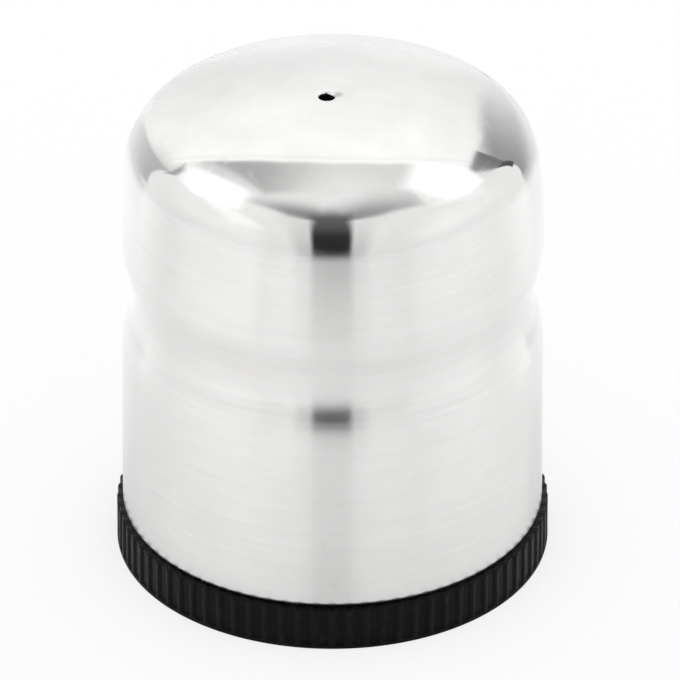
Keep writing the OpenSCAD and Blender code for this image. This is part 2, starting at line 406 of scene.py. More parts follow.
# %% [markdown]
# ## Ribs, webs and thread by rule
#
# Eighty ribs, twelve webs and a thread all follow a rule, so Geometry Nodes make them, with their
# count and size as inputs of the tree. The ribs are not added as separate bars.
# The blank's outer wall is pushed out where a rib stands, which keeps the skirt one skin, as it
# is in the mould. The webs are one bar set on the points of a circle, and the thread is one
# section carried along a helix.

# %% Tools for building a node tree
def put(tree, kind, **settings):
    """New node with its settings."""
    node = tree.nodes.new(kind)
    for name, value in settings.items():
        setattr(node, name, value)
    return node

def feed(tree, node, **inputs):
    """Sets or links a node's inputs, named with _ for a space or given as in0, in1, ..."""
    for name, value in inputs.items():
        if name.startswith("in") and name[2:].isdigit():
            socket = node.inputs[int(name[2:])]
        else:
            socket = node.inputs[name.replace("_", " ")]
        if isinstance(value, bpy.types.NodeSocket):
            tree.links.new(value, socket)
        else:
            socket.default_value = value
    return node

# %% Tools for arithmetic in a tree
def calc(tree, operation, *values):
    """Output of a Math node."""
    node = put(tree, "ShaderNodeMath", operation=operation)
    feed(tree, node, **{f"in{k}": v for k, v in enumerate(values)})
    return node.outputs[0]

def two(operation):
    """Short form of calc for an operation on two values."""
    return lambda tree, a, b: calc(tree, operation, a, b)

add, sub, mul, div = (two(name) for name in ("ADD", "SUBTRACT", "MULTIPLY", "DIVIDE"))
least, most = two("MINIMUM"), two("MAXIMUM")

def remap(tree, value, a, b, c=0.0, d=1.0, smooth=True):
    """Value from a to b turned into c to d, held at both ends."""
    node = put(tree, "ShaderNodeMapRange",
               interpolation_type="SMOOTHSTEP" if smooth else "LINEAR")
    return feed(tree, node, in0=value, in1=a, in2=b, in3=c, in4=d).outputs[0]

def split(tree, vector):
    """The x, y and z of a vector."""
    return feed(tree, put(tree, "ShaderNodeSeparateXYZ"), in0=vector).outputs[:3]

def combine(tree, **parts):
    """Vector from in0, in1 and in2; those left out are 0."""
    return feed(tree, put(tree, "ShaderNodeCombineXYZ"), **parts).outputs[0]

def radius_of(tree, x, y):
    """Distance from the axis."""
    return calc(tree, "SQRT", add(tree, mul(tree, x, x), mul(tree, y, y)))

def angle_of(tree, x, y):
    """Angle about the axis, 0 at the front."""
    return calc(tree, "ARCTAN2", x, mul(tree, y, -1.0))

def geo(tree, kind, mode=None, **inputs):
    """First output of a Geometry node with its inputs."""
    node = put(tree, "GeometryNode" + kind, **({"mode": mode} if mode else {}))
    return feed(tree, node, **inputs).outputs[0]

# %% Open a tree with named inputs
SHAPE, PLACE = "NodeSocketGeometry", "NodeSocketVector"
LENGTH, COUNT = "NodeSocketFloat", "NodeSocketInt"

def open_group(kind, name, inputs, outputs):
    """Node group with named inputs and outputs; returns it and its Group Input's sockets."""
    tree = bpy.data.node_groups.new(name, kind)
    for label, socket_type, value in inputs:
        socket = tree.interface.new_socket(label, in_out="INPUT", socket_type=socket_type)
        if value is not None:
            socket.default_value = value
    for label, socket_type in outputs:
        tree.interface.new_socket(label, in_out="OUTPUT", socket_type=socket_type)
    return tree, put(tree, "NodeGroupInput").outputs

# %% Name the inputs of the base's tree
web_n, web_w, web_foot = 12, 0.9, 0.6
thread_pitch, thread_turns, thread_h = 2.5, 1.5, 0.95
base_sizes = [
    ("Rib Count", COUNT, rib_n), ("Rib Width", LENGTH, rib_w * MM),
    ("Rib Height", LENGTH, rib_h * MM), ("Rib End", LENGTH, rib_end * MM),
    ("Foot Height", LENGTH, foot_h * MM), ("Foot Edge", LENGTH, foot_edge * MM),
    ("Skirt Radius", LENGTH, base_r * MM), ("Skirt Height", LENGTH, base_h * MM),
    ("Web Count", COUNT, web_n), ("Web Width", LENGTH, web_w * MM),
    ("Web Foot", LENGTH, web_foot * MM), ("Thread Pitch", LENGTH, thread_pitch * MM),
    ("Thread Turns", LENGTH, thread_turns), ("Thread Height", LENGTH, thread_h * MM)]
base_tree, given = open_group("GeometryNodeTree", "Moulded base",
                              [("Geometry", SHAPE, None)] + base_sizes, [("Geometry", SHAPE)])
print("inputs:", ", ".join(label for label, kind, value in base_sizes))

# %% [markdown]
# ### Ribs
#
# For each vertex the angle about the axis says where it lies within one rib's pitch. The rib is
# a part of a circle that stands out by the rib's height. Near both ends the crest is held
# inside a rounded edge, so every rib ends in a soft nose. A plain band joins them at the foot,
# where the mould parts.

# %% Profile of one rib across its pitch
t = base_tree
x, y, z = split(t, geo(t, "InputPosition"))
reach = radius_of(t, x, y)
rib_high = given["Rib Height"]
pitches = mul(t, div(t, angle_of(t, x, y), 2 * math.pi), given["Rib Count"])
within = sub(t, pitches, calc(t, "ROUND", pitches))
pitch = div(t, mul(t, given["Skirt Radius"], 2 * math.pi), given["Rib Count"])
aside = mul(t, within, pitch)
half_w = mul(t, given["Rib Width"], 0.5)
bow = div(t, add(t, mul(t, half_w, half_w), mul(t, rib_high, rib_high)), mul(t, rib_high, 2.0))
inside_bow = most(t, sub(t, mul(t, bow, bow), mul(t, aside, aside)), 0.0)
swell = most(t, sub(t, calc(t, "SQRT", inside_bow), sub(t, bow, rib_high)), 0.0)

# %% Plain band at the foot
foot_blend = 0.1
band_top = add(t, given["Foot Height"], foot_blend * MM)
swell = most(t, swell, remap(t, z, given["Foot Height"], band_top, rib_high, 0.0))

# %% Noses at both ends, and the push outwards
crest = add(t, given["Skirt Radius"], rib_high)
skin_depth = 0.06

def nose(height, radius):
    """Reach of a rounded edge of that radius, at a height above its end."""
    short = most(t, sub(t, radius, height), 0.0)
    left = most(t, sub(t, mul(t, radius, radius), mul(t, short, short)), 0.0)
    return add(t, sub(t, crest, radius), calc(t, "SQRT", left))

from_top = sub(t, given["Skirt Height"], z)
limit = least(t, nose(z, given["Foot Edge"]), nose(from_top, given["Rib End"]))
wanted = least(t, add(t, reach, swell), limit)
stretch = div(t, most(t, wanted, reach), reach)
outer = put(t, "FunctionNodeCompare", data_type="FLOAT", operation="GREATER_THAN")
feed(t, outer, in0=reach, in1=sub(t, given["Skirt Radius"], skin_depth * MM))
ribbed = geo(t, "SetPosition", Geometry=given["Geometry"], Selection=outer.outputs[0],
             Position=combine(t, in0=mul(t, x, stretch), in1=mul(t, y, stretch), in2=z))
print(f"ribs: {len(t.nodes)} nodes so far")

# %% [markdown]
# ### Webs
#
# Under the flange, short webs tie the skirt to the foot of the spigot. An Array modifier would
# need an empty to turn about. Here one bar with a rounded section is made once and placed on the
# points of a circle, each turned to face the axis.

# %% One web
web_round, web_sunk = 0.15, 0.4
into_flange = 0.3

def rounded_bar_section(tree, width, height, radius):
    """Rectangle with rounded corners, as a closed curve."""
    shape = geo(tree, "CurvePrimitiveQuadrilateral", Width=width, Height=height)
    return geo(tree, "FilletCurve", "POLY", Curve=shape, Count=3, Radius=radius)

web_top = sub(t, given["Skirt Height"], (base_h - flange_z - into_flange) * MM)
web_tall = sub(t, web_top, given["Web Foot"])
path = geo(t, "CurvePrimitiveLine", Start=((core_r - web_sunk) * MM, 0, 0),
           End=((skirt_r + web_sunk) * MM, 0, 0))
bar = geo(t, "CurveToMesh", Curve=path, Fill_Caps=True,
          Profile_Curve=rounded_bar_section(t, given["Web Width"], web_tall, web_round * MM))
middle_z = add(t, given["Web Foot"], mul(t, web_tall, 0.5))
bar = geo(t, "Transform", Geometry=bar, Translation=combine(t, in2=middle_z))

# %% Set the webs round the axis
spots = geo(t, "MeshLine", Count=given["Web Count"], Offset=(0, 0, 0))
round_turn = mul(t, div(t, geo(t, "InputIndex"), given["Web Count"]), 2 * math.pi)
facing = feed(t, put(t, "FunctionNodeAxisAngleToRotation"), Axis=(0, 0, 1), Angle=round_turn)
webs = geo(t, "InstanceOnPoints", Points=spots, Instance=bar, Rotation=facing.outputs[0])
print(f"{web_n} webs, {web_w} mm wide")

# %% [markdown]
# ### Thread
#
# A thread is one flat-topped section swept up a helix. The Screw modifier would do it too, but
# it can't change the section along the way. Here the ends fade into the wall, so that the two
# halves find each other and nothing breaks off when the base comes out of the mould.

# %% Helix
first_h = 1.4
helix = geo(t, "CurveSpiral", Resolution=96, Rotations=given["Thread Turns"],
            Start_Radius=core_r * MM, End_Radius=core_r * MM,
            Height=mul(t, given["Thread Pitch"], given["Thread Turns"]))
helix = geo(t, "Transform", Geometry=helix, Translation=(0, 0, (land_z + first_h) * MM))
helix = geo(t, "SetCurveNormal", "Z_UP", Curve=helix)

# %% Section of the thread, partly sunk in the wall
sunk, root_w, crest_w, tooth_round = 0.3, 1.3, 0.7, 0.12
flank = (root_w - crest_w) / 2 / thread_h
tooth = geo(t, "CurvePrimitiveQuadrilateral", "TRAPEZOID", Offset=0.0,
            Bottom_Width=(root_w + 2 * flank * sunk) * MM, Top_Width=crest_w * MM,
            Height=add(t, given["Thread Height"], sunk * MM))
tooth = geo(t, "Transform", Geometry=tooth, Rotation=(0, 0, -math.pi / 2))
outward = mul(t, sub(t, given["Thread Height"], sunk * MM), 0.5)
tooth = geo(t, "Transform", Geometry=tooth, Translation=combine(t, in0=outward))
tooth = geo(t, "FilletCurve", "POLY", Curve=tooth, Count=3, Radius=tooth_round * MM)

# %% Sweep it, smaller towards both ends
fade_turns, end_size = 0.12, 0.2
along = geo(t, "SplineParameter")
to_end = mul(t, least(t, along, sub(t, 1.0, along)), given["Thread Turns"])
grown = add(t, mul(t, to_end, (1 - end_size) / fade_turns), end_size)
thread = geo(t, "CurveToMesh", Curve=helix, Profile_Curve=tooth, Fill_Caps=True,
             Scale=least(t, grown, 1.0))
print(f"thread: {thread_turns} turns of {thread_pitch} mm, {thread_h} mm high")

# %% [markdown]
# ### Join the parts and make them a plain mesh
#
# Instances only exist while the tree runs, so the tree ends by making them real and giving them
# their material. The result is then copied out as one ordinary mesh that the base keeps.

# %% Close the tree
black_plastic = bpy.data.materials.new("black_plastic")
joined = put(t, "GeometryNodeJoinGeometry")
for part in (ribbed, webs, thread):
    t.links.new(part, joined.inputs[0])
real = geo(t, "RealizeInstances", Geometry=joined.outputs[0])
feed(t, put(t, "NodeGroupOutput"), in0=geo(t, "SetMaterial", Geometry=real, Material=black_plastic))

# %% Run the tree on the blank and keep the result
def grow(name, mesh, tree, sizes):
    """Runs a geometry tree on a mesh with its inputs set and returns a plain object."""
    carrier = bpy.data.objects.new(name + "_carrier", mesh)
    bpy.context.scene.collection.objects.link(carrier)
    modifier = carrier.modifiers.new(tree.name, "NODES")
    modifier.node_group = tree
    sockets = {s.name: s.identifier for s in tree.interface.items_tree if s.in_out == "INPUT"}
    for label, kind, value in sizes:
        modifier[sockets[label]] = value
    ready = carrier.evaluated_get(bpy.context.evaluated_depsgraph_get())
    made = bpy.data.meshes.new_from_object(ready)
    carrier.modifiers.clear()
    bpy.data.objects.remove(carrier)
    made.name = name
    return add_piece(name, made)

base = grow("base_moulding", blank, base_tree, base_sizes)
print(f"base: {len(base.data.polygons)} faces, {volume_mm3(base.data):.0f} mm3")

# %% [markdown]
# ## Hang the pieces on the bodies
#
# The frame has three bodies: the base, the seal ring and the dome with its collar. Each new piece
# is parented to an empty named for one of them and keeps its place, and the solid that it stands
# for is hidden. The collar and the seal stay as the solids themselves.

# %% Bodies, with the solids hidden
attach(dome, "dome")
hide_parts("shell")
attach(base, "base")
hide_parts("screw_base")

# %% [markdown]
# ## Places and patterns
#
# A pattern needs a place to read. Object coordinates in millimetres suit moulded parts. A
# turned or brushed part is better read by its angle about the axis and the run along its
# outline, because the brush follows the wall as the lathe turns it.

# %% Tools for materials
def vec(tree, operation, *values):
    """Output of a Vector Math node."""
    node = put(tree, "ShaderNodeVectorMath", operation=operation)
    if operation == "SCALE":
        feed(tree, node, in0=values[0], Scale=values[1])
    else:
        feed(tree, node, **{f"in{k}": v for k, v in enumerate(values)})
    return node.outputs["Value" if operation in ("DISTANCE", "LENGTH", "DOT_PRODUCT") else 0]

def place_mm(tree):
    """Object coordinates in millimetres."""
    return vec(tree, "MULTIPLY", put(tree, "ShaderNodeTexCoord").outputs["Object"],
               (1 / MM, 1 / MM, 1 / MM))

def noise(tree, place, scale, detail=2.0, rough=0.5):
    """Noise from 0 to 1 about 0.5."""
    node = put(tree, "ShaderNodeTexNoise")
    return feed(tree, node, Vector=place, Scale=scale, Detail=detail,
                Roughness=rough).outputs[0]

def tint(tree, dark, light, amount):
    """Colour between dark and light."""
    node = put(tree, "ShaderNodeMix", data_type="RGBA")
    return feed(tree, node, in0=amount, in6=(*dark, 1), in7=(*light, 1)).outputs[2]

def bumps(tree, heights):
    """Normal after a chain of bumps; each height is a socket in millimetres."""
    normal = None
    for height in heights:
        node = feed(tree, put(tree, "ShaderNodeBump"), Strength=1.0, Distance=MM, Height=height)
        if normal is not None:
            tree.links.new(normal, node.inputs["Normal"])
        normal = node.outputs[0]
    return normal

def use_group(tree, group, **inputs):
    """Outputs of a group placed in a material with its own values."""
    return feed(tree, put(tree, "ShaderNodeGroup", node_tree=group), **inputs).outputs

def new_material(name):
    """Material with a Principled BSDF, its tree and that shader."""
    material = bpy.data.materials.new(name)
    material.use_nodes = True
    return material, material.node_tree, material.node_tree.nodes["Principled BSDF"]

# %% [markdown]
# ## Marks of use
#
# A shaker is picked up, knocked on other jars and wiped, and so both the steel and the plastic
# carry fine scratches that run every way. An image of scratches would repeat and blur near the
# camera. The group draws the places where a stretched noise crosses its middle value, which
# gives long thin lines, and a second noise breaks them up.

# %% Group: fine scratches
scratch_group, given = open_group("ShaderNodeTree", "Fine scratches", [
    ("Place", PLACE, None), ("Spacing", LENGTH, 3.0), ("Width", LENGTH, 0.02)],
    [("Scratches", LENGTH)])
g = scratch_group
lines = None
for angle, stretch_x, stretch_z in ((0.5, 9.0, 7.2), (1.7, 12.0, 9.6), (2.6, 7.0, 5.6)):
    turned_place = put(g, "ShaderNodeVectorRotate", rotation_type="EULER_XYZ")
    turned_place = feed(g, turned_place, Vector=given["Place"],
                        Rotation=(angle, angle * 0.7, angle * 1.9)).outputs[0]
    drawn = vec(g, "DIVIDE", turned_place, (stretch_x, 1.0, stretch_z))
    field = noise(g, drawn, div(g, 1.0, given["Spacing"]), detail=1.0)
    off = calc(g, "ABSOLUTE", sub(g, field, 0.5))
    thin = remap(g, off, 0.0, given["Width"], 1.0, 0.0)
    broken = remap(g, noise(g, turned_place, scale=0.35, detail=2.0), 0.52, 0.66)
    one = mul(g, thin, broken)
    lines = one if lines is None else most(g, lines, one)
feed(g, put(g, "NodeGroupOutput"), in0=lines)
print(f"{g.name}: {len(g.nodes)} nodes")

# %% [markdown]
# ## Moulded skin
#
# A moulded part copies the skin of its mould: a very fine grain, and slow swells where the
# wall shrank as it cooled. The plastic and the rubber use the same group with their own sizes.

# %% Group: moulded skin
skin_group, given = open_group("ShaderNodeTree", "Moulded skin", [
    ("Place", PLACE, None), ("Grain", LENGTH, 0.12), ("Depth", LENGTH, 0.002)],
    [("Height", LENGTH), ("Shade", LENGTH)])
g = skin_group
fine = noise(g, given["Place"], div(g, 1.0, given["Grain"]), detail=3.0, rough=0.6)
slow = noise(g, given["Place"], scale=0.45, detail=2.0)
height = add(g, mul(g, fine, given["Depth"]), mul(g, slow, mul(g, given["Depth"], 4.0)))
shade = add(g, mul(g, fine, 0.5), mul(g, slow, 0.5))
feed(g, put(g, "NodeGroupOutput"), in0=height, in1=shade)
print(f"{g.name}: {len(g.nodes)} nodes")

# %% [markdown]
# ## Brushed steel
#
# The wall was brushed as it turned, so its lines run round it. A brushed surface is much
# rougher across its lines than along them, and that is what anisotropy is for: a light is
# smeared up and down the wall and stays sharp sideways. The crown was buffed after brushing and
# is smoother. Bumps add what the eye can make out: the lines themselves, stray scratches, and
# the slow waves that drawing and rolling leave in thin sheet.

# %% Patterns on the steel
steel, t, shader = new_material("brushed_steel")
place = place_mm(t)
x, y, z = split(t, place)
around = vec(t, "NORMALIZE", vec(t, "MULTIPLY", place, (1, 1, 0)))
run = div(t, put(t, "ShaderNodeAttribute", attribute_name="run").outputs["Fac"], MM)

def turned(length, pitch):
    """Place on a turned wall at which a noise of scale 1 gives lines of that size in mm."""
    flat = vec(t, "MULTIPLY", around, (wall_r / length,) * 3)
    return vec(t, "ADD", flat, combine(t, in2=div(t, run, pitch)))

hairs = noise(t, turned(length=4.0, pitch=0.2), 1.0, rough=0.6)
strokes = noise(t, turned(length=14.0, pitch=0.5), 1.0, detail=3.0, rough=0.6)
patches = remap(t, noise(t, place, scale=0.14, detail=4.0, rough=0.6), 0.25, 0.75, smooth=False)
waves = noise(t, place, scale=0.09, detail=1.0)
scratches = use_group(t, scratch_group, Place=place, Spacing=2.5, Width=0.012)["Scratches"]

# %% Roughness: brushed wall, buffed crown, dull rim of the hole
brushed_rough, buffed_rough = 0.21, 0.04
rim_rough, line_rough = 0.12, 0.02
buff_from, buff_to = 48.4, 51.0
buffed = remap(t, z, buff_from, buff_to)
grade = add(t, brushed_rough, mul(t, buffed, buffed_rough - brushed_rough))
line_share = sub(t, 1.0, mul(t, buffed, 0.95))
grade = add(t, grade, mul(t, line_share,
                          remap(t, strokes, 0.2, 0.8, -line_rough, line_rough, False)))
grade = add(t, grade, mul(t, scratches, 0.03))
from_hole = vec(t, "DISTANCE", place, (-hole_shift, 0, crown_z))
grade = add(t, grade, remap(t, from_hole, hole_r + 0.05, hole_r + 0.25, rim_rough, 0.0))

# %% Colour: strokes on the wall, soft patches on the crown, painted shade beside the hole
steel_dark, steel_light = (0.785, 0.777, 0.770), (0.895, 0.888, 0.881)
# The darker patch beside the hole is painted shade.
hole_shade_x, hole_shade_y, hole_shade_dark = 0.62, 0.35, 0.62
from_hole_shade = vec(t, "DISTANCE", place, (hole_shade_x, hole_shade_y, crown_z))
hole_shade = remap(t, from_hole_shade, 0.1, 0.8, hole_shade_dark, 1.0)
lined = remap(t, buffed, 0.0, 1.0, 0.5, 0.05)
shade = add(t, mul(t, remap(t, strokes, 0.3, 0.7, smooth=False), lined),
            mul(t, patches, sub(t, 1.0, lined)))
steel_colour = vec(t, "SCALE", tint(t, steel_dark, steel_light, shade), hole_shade)

# %% Steel
wave_h, scratch_h = 0.020, -0.00012
hair_h = remap(t, buffed, 0.0, 1.0, 0.0010, 0.00004)
tangent = put(t, "ShaderNodeTangent", direction_type="RADIAL", axis="Z")
feed(t, shader, Metallic=1.0, Anisotropic=1.0, Anisotropic_Rotation=0.25, Roughness=grade,
     Base_Color=steel_colour, Tangent=tangent.outputs[0],
     Normal=bumps(t, [mul(t, waves, wave_h), mul(t, hairs, hair_h),
                      mul(t, scratches, scratch_h)]))
dome.data.materials.append(steel)
print(f"steel: {len(t.nodes)} nodes, roughness {buffed_rough} to {brushed_rough}")

# %% [markdown]
# ## Black plastic
#
# The base and the collar are moulded in the same black plastic, with a satin skin. Where fingers
# turn it, the crests of the ribs are rubbed a little smoother than the valleys between them. Their
# colour is also lighter, which is a painted highlight where the crests catch the light. Painting
# that by hand would take a texture, and the distance from the axis already tells a crest from a
# valley.

# %% Plastic
black_plastic.use_nodes = True
t = black_plastic.node_tree
place = place_mm(t)
x, y, z = split(t, place)
skin = use_group(t, skin_group, Place=place, Grain=0.12, Depth=0.0015)
scratches = use_group(t, scratch_group, Place=place, Spacing=1.6, Width=0.02)["Scratches"]
on_crest = remap(t, radius_of(t, x, y), base_r + 0.12, crest_r)
# Mask of the rib crests: it lowers their roughness and paints their colour lighter as a painted
# highlight.
crest_sheen_mask = mul(t, on_crest, remap(t, noise(t, place, scale=0.7, detail=3.0), 0.35, 0.7, 0.2, 1.0))
grade = add(t, remap(t, skin["Shade"], 0.3, 0.7, 0.28, 0.38, False), mul(t, crest_sheen_mask, -0.08))
grade = add(t, grade, mul(t, scratches, 0.10))
# Colour mix of the painted highlight on the crests and the real scratches.
crest_sheen_and_scratches = add(t, mul(t, crest_sheen_mask, 0.5), mul(t, scratches, 0.5))
feed(t, t.nodes["Principled BSDF"], Roughness=grade, Specular_IOR_Level=0.11,
     Base_Color=tint(t, (0.0022, 0.0022, 0.0025), (0.012, 0.012, 0.0125), crest_sheen_and_scratches),
     Normal=bumps(t, [skin["Height"], mul(t, scratches, -0.002)]))

def dress(node, material):
    """Gives a solid of the frame its material."""
    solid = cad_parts[node]
    solid.data.materials.clear()
    solid.data.materials.append(material)
    print(f"{node}: {len(solid.data.polygons)} faces")

dress("threaded_collar", black_plastic)

# %% [markdown]
# ## Seal
#
# The ring that keeps fine salt out of the thread is a pale silicone. It is softer and duller
# than the plastic, so it takes the same skin with a coarser grain and a higher roughness.

# %% Silicone
silicone, t, shader = new_material("seal_rubber")
skin = use_group(t, skin_group, Place=place_mm(t), Grain=0.2, Depth=0.002)
feed(t, shader, Specular_IOR_Level=0.35,
     Roughness=remap(t, skin["Shade"], 0.3, 0.7, 0.45, 0.6, False),
     Base_Color=tint(t, (0.62, 0.61, 0.57), (0.76, 0.75, 0.71), skin["Shade"]),
     Normal=bumps(t, [skin["Height"]]))
dress("seal_ring", silicone)

# %% [markdown]
# ## Floor
#
# The shaker stands on a wide pale floor. The camera should see it almost white, with a faint shadow
# where the base stands. The steel mirrors the same floor, and for mirror rays the floor carries a
# painted shadow streak in front and glows with painted light behind, ahead and in slow patches. A
# Light Path node tells the two apart, so one floor can be a bright sheet for the camera and glossy
# acrylic for the mirrors. From below it is clear, and the base can be looked at.

# %% Stage tools
def stage_mesh(name, points, faces):
    """Object of the stage, which is not a part of the shaker."""
    mesh = bpy.data.meshes.new(name)
    mesh.from_pydata(points, [], faces)
    thing = bpy.data.objects.new(name, mesh)
    bpy.context.scene.collection.objects.link(thing)
    thing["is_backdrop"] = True
    return thing

def uneven(tree, direction):
    """Value from 0 to 1 that swells and falls three times round the room."""
    x, y, z = split(tree, direction)
    swells, turn = 3.0, 0.8
    swell = calc(tree, "COSINE", mul(tree, add(tree, angle_of(tree, x, y), turn), swells))
    return add(tree, mul(tree, swell, 0.5), 0.5)

def blend(tree, amount, first, second):
    """Mix Shader between two shader nodes."""
    return feed(tree, put(tree, "ShaderNodeMixShader"), in0=amount, in1=first.outputs[0],
                in2=second.outputs[0])

# %% Floor as the mirrors see it
reach_m = 1.6
floor = stage_mesh("floor", [(-reach_m, -reach_m, 0), (reach_m, -reach_m, 0),
                             (reach_m, reach_m, 0), (-reach_m, reach_m, 0)], [(0, 1, 2, 3)])
paper, t, sheen = new_material("floor_acrylic")
spot = put(t, "ShaderNodeTexCoord").outputs["Object"]
x, y, z = split(t, spot)
far = vec(t, "LENGTH", spot)
# In metres, y below 0 being in front: a painted shadow streak, then painted light glowing behind,
# ahead and in patches.
aside = div(t, calc(t, "ABSOLUTE", x), mul(t, y, -1.0))
floor_shadow_streak = mul(t, remap(t, y, -0.22, -0.07, 1.0, 0.0), remap(t, aside, 0.15, 0.22, 1.0, 0.0))
behind = mul(t, remap(t, y, 0.0, 0.06, 0.0, 0.22), remap(t, far, 0.1, 0.3, 1.0, 0.0))
ahead = mul(t, remap(t, y, -0.04, 0.0, 0.05, 0.0), remap(t, far, 0.045, 0.08))
glow = add(t, behind, mul(t, 0.05, uneven(t, spot)))
glow = add(t, glow, mul(t, ahead, remap(t, x, -0.05, 0.05, 1.2, 0.4)))
feed(t, sheen, Roughness=0.03, Specular_IOR_Level=0.3, Emission_Color=(1, 1, 1, 1),
     Emission_Strength=glow, Base_Color=tint(t, (0.95, 0.95, 0.95), (0.74, 0.74, 0.74), floor_shadow_streak))

# %% Floor as the camera sees it, clear from below
matt = feed(t, put(t, "ShaderNodeBsdfDiffuse"), Color=(1, 1, 1, 1))
white = feed(t, put(t, "ShaderNodeEmission"), Color=(1, 1, 1, 1), Strength=1.0)
seen = put(t, "ShaderNodeLightPath").outputs["Is Camera Ray"]
under = put(t, "ShaderNodeNewGeometry").outputs["Backfacing"]
face = blend(t, seen, sheen, blend(t, 0.72, matt, white))
face = blend(t, under, face, put(t, "ShaderNodeBsdfTransparent"))
t.links.new(face.outputs[0], t.nodes["Material Output"].inputs[0])
floor.data.materials.append(paper)
print(f"floor: {2 * reach_m} m wide, {len(t.nodes)} nodes")

# %% [markdown]
# ## World
#
# A white world lights everything softly from all sides, as a tent of cloth would, and needs no
# lamps. Only mirrors see that the tent is a little darker low in front and not quite even.

# %% World
world = bpy.data.worlds.new("studio")
bpy.context.scene.world = world
world.use_nodes = True
t = world.node_tree
mirrored = put(t, "ShaderNodeLightPath").outputs["Is Glossy Ray"]
toward = put(t, "ShaderNodeTexCoord").outputs["Generated"]
x, y, z = split(t, toward)
front_dim, patch_dim = -0.10, 0.05
low_front = mul(t, remap(t, z, 0.15, 0.5, 1.0, 0.0), remap(t, y, -0.2, 0.6, 1.0, 0.0))
patch = mul(t, add(t, uneven(t, toward), -0.5), patch_dim)
dim = add(t, mul(t, low_front, front_dim), patch)
strength = add(t, mul(t, mirrored, dim), 1.0)
feed(t, t.nodes["Background"], Color=(1, 1, 1, 1), Strength=strength)
print(f"world: {len(t.nodes)} nodes")

# %% [markdown]
# ## Cards
#
# What makes steel look like steel is the room in it. A photographer puts up white and black
# cards and moves them until the mirror images lie well. Here each card is a patch of a small
# sky that only mirror rays can see. A picture of a room would do the same, but its shapes
# couldn't be moved one by one.
#
# A card is placed on a plan of the sky: the middle is overhead, a distance of 1 is the horizon,
# and minus y is the camera's side. It is a convex outline whose every edge has its own softness.
# Its level runs from front to back. A later card hangs nearer and covers earlier ones.

# %% Plan of the sky
sky_r, card_gap = 3.0, 0.02
centre_z, floor_gap = 0.027, 0.0005
cell = 0.025
cards = []

def on_sky(x, y, reach):
    """Point of the sky at plan place x, y; below the horizon it comes down to the floor."""
    tilt, az = math.radians(90 * math.hypot(x, y)), math.atan2(x, -y)
    if centre_z + reach * math.cos(tilt) < floor_gap:
        reach = (centre_z - floor_gap) / -math.cos(tilt)
    return (reach * math.sin(tilt) * math.sin(az), -reach * math.sin(tilt) * math.cos(az),
            centre_z + reach * math.cos(tilt))

def edges_of(corners):
    """For each edge its inward direction, where it starts along that, and its softness."""
    edges = []
    for k, (ax, ay, soft) in enumerate(corners):
        bx, by = corners[(k + 1) % len(corners)][:2]
        length = math.hypot(bx - ax, by - ay)
        inward = (-(by - ay) / length, (bx - ax) / length, 0)
        edges.append((inward, inward[0] * ax + inward[1] * ay, soft))
    return edges

def card_sheet(name, corners, edges):
    """Mesh of square cells over the outline, with the plan place kept on its points."""
    xs, ys = [c[0] for c in corners], [c[1] for c in corners]
    across = max(4, round((max(xs) - min(xs)) / cell))
    upward = max(4, round((max(ys) - min(ys)) / cell))
    points, plan, faces = [], [], []
    for j in range(upward + 1):
        for i in range(across + 1):
            x = min(xs) + (max(xs) - min(xs)) * i / across
            y = min(ys) + (max(ys) - min(ys)) * j / upward
            points.append(on_sky(x, y, sky_r - card_gap * len(cards)))
            plan += [x, y, 0.0]
    for j in range(upward):
        for i in range(across):
            k = j * (across + 1) + i
            quad = (k, k + 1, k + across + 2, k + across + 1)
            if all(any(n[0] * plan[3 * v] + n[1] * plan[3 * v + 1] > start for v in quad)
                   for n, start, soft in edges):
                faces.append(quad)
    sheet = stage_mesh(name, points, faces)
    sheet.data.attributes.new("plan", "FLOAT_VECTOR", "POINT").data.foreach_set("vector", plan)
    sheet.visible_camera = sheet.visible_diffuse = sheet.visible_shadow = False
    return sheet

# %% A card's light
def card(name, front_level, back_level, corners):
    """Card on the sky; corners are (x, y, how soft the edge after it is), anticlockwise."""
    edges = edges_of(corners)
    sheet = card_sheet("card_" + name, corners, edges)
    material, t, shader = new_material("card_" + name)
    t.nodes.remove(shader)
    material.cycles.emission_sampling = "NONE"
    spot = put(t, "ShaderNodeAttribute", attribute_name="plan").outputs["Vector"]
    cover = None
    for inward, start, soft in edges:
        edge = remap(t, vec(t, "DOT_PRODUCT", spot, inward), start, start + soft)
        cover = edge if cover is None else least(t, cover, edge)
    ys = [c[1] for c in corners]
    level = remap(t, split(t, spot)[1], min(ys), max(ys), front_level, back_level)
    glow = feed(t, put(t, "ShaderNodeEmission"), Color=(1, 1, 1, 1), Strength=level)
    face = blend(t, cover, put(t, "ShaderNodeBsdfTransparent"), glow)
    t.links.new(face.outputs[0], t.nodes["Material Output"].inputs[0])
    sheet.data.materials.append(material)
    cards.append(sheet)

# %% [markdown]
# ### Gaps between the walls of the tent
#
# At both sides the tent leaves a grey gap that shows on the shoulder, closed below by a seam.

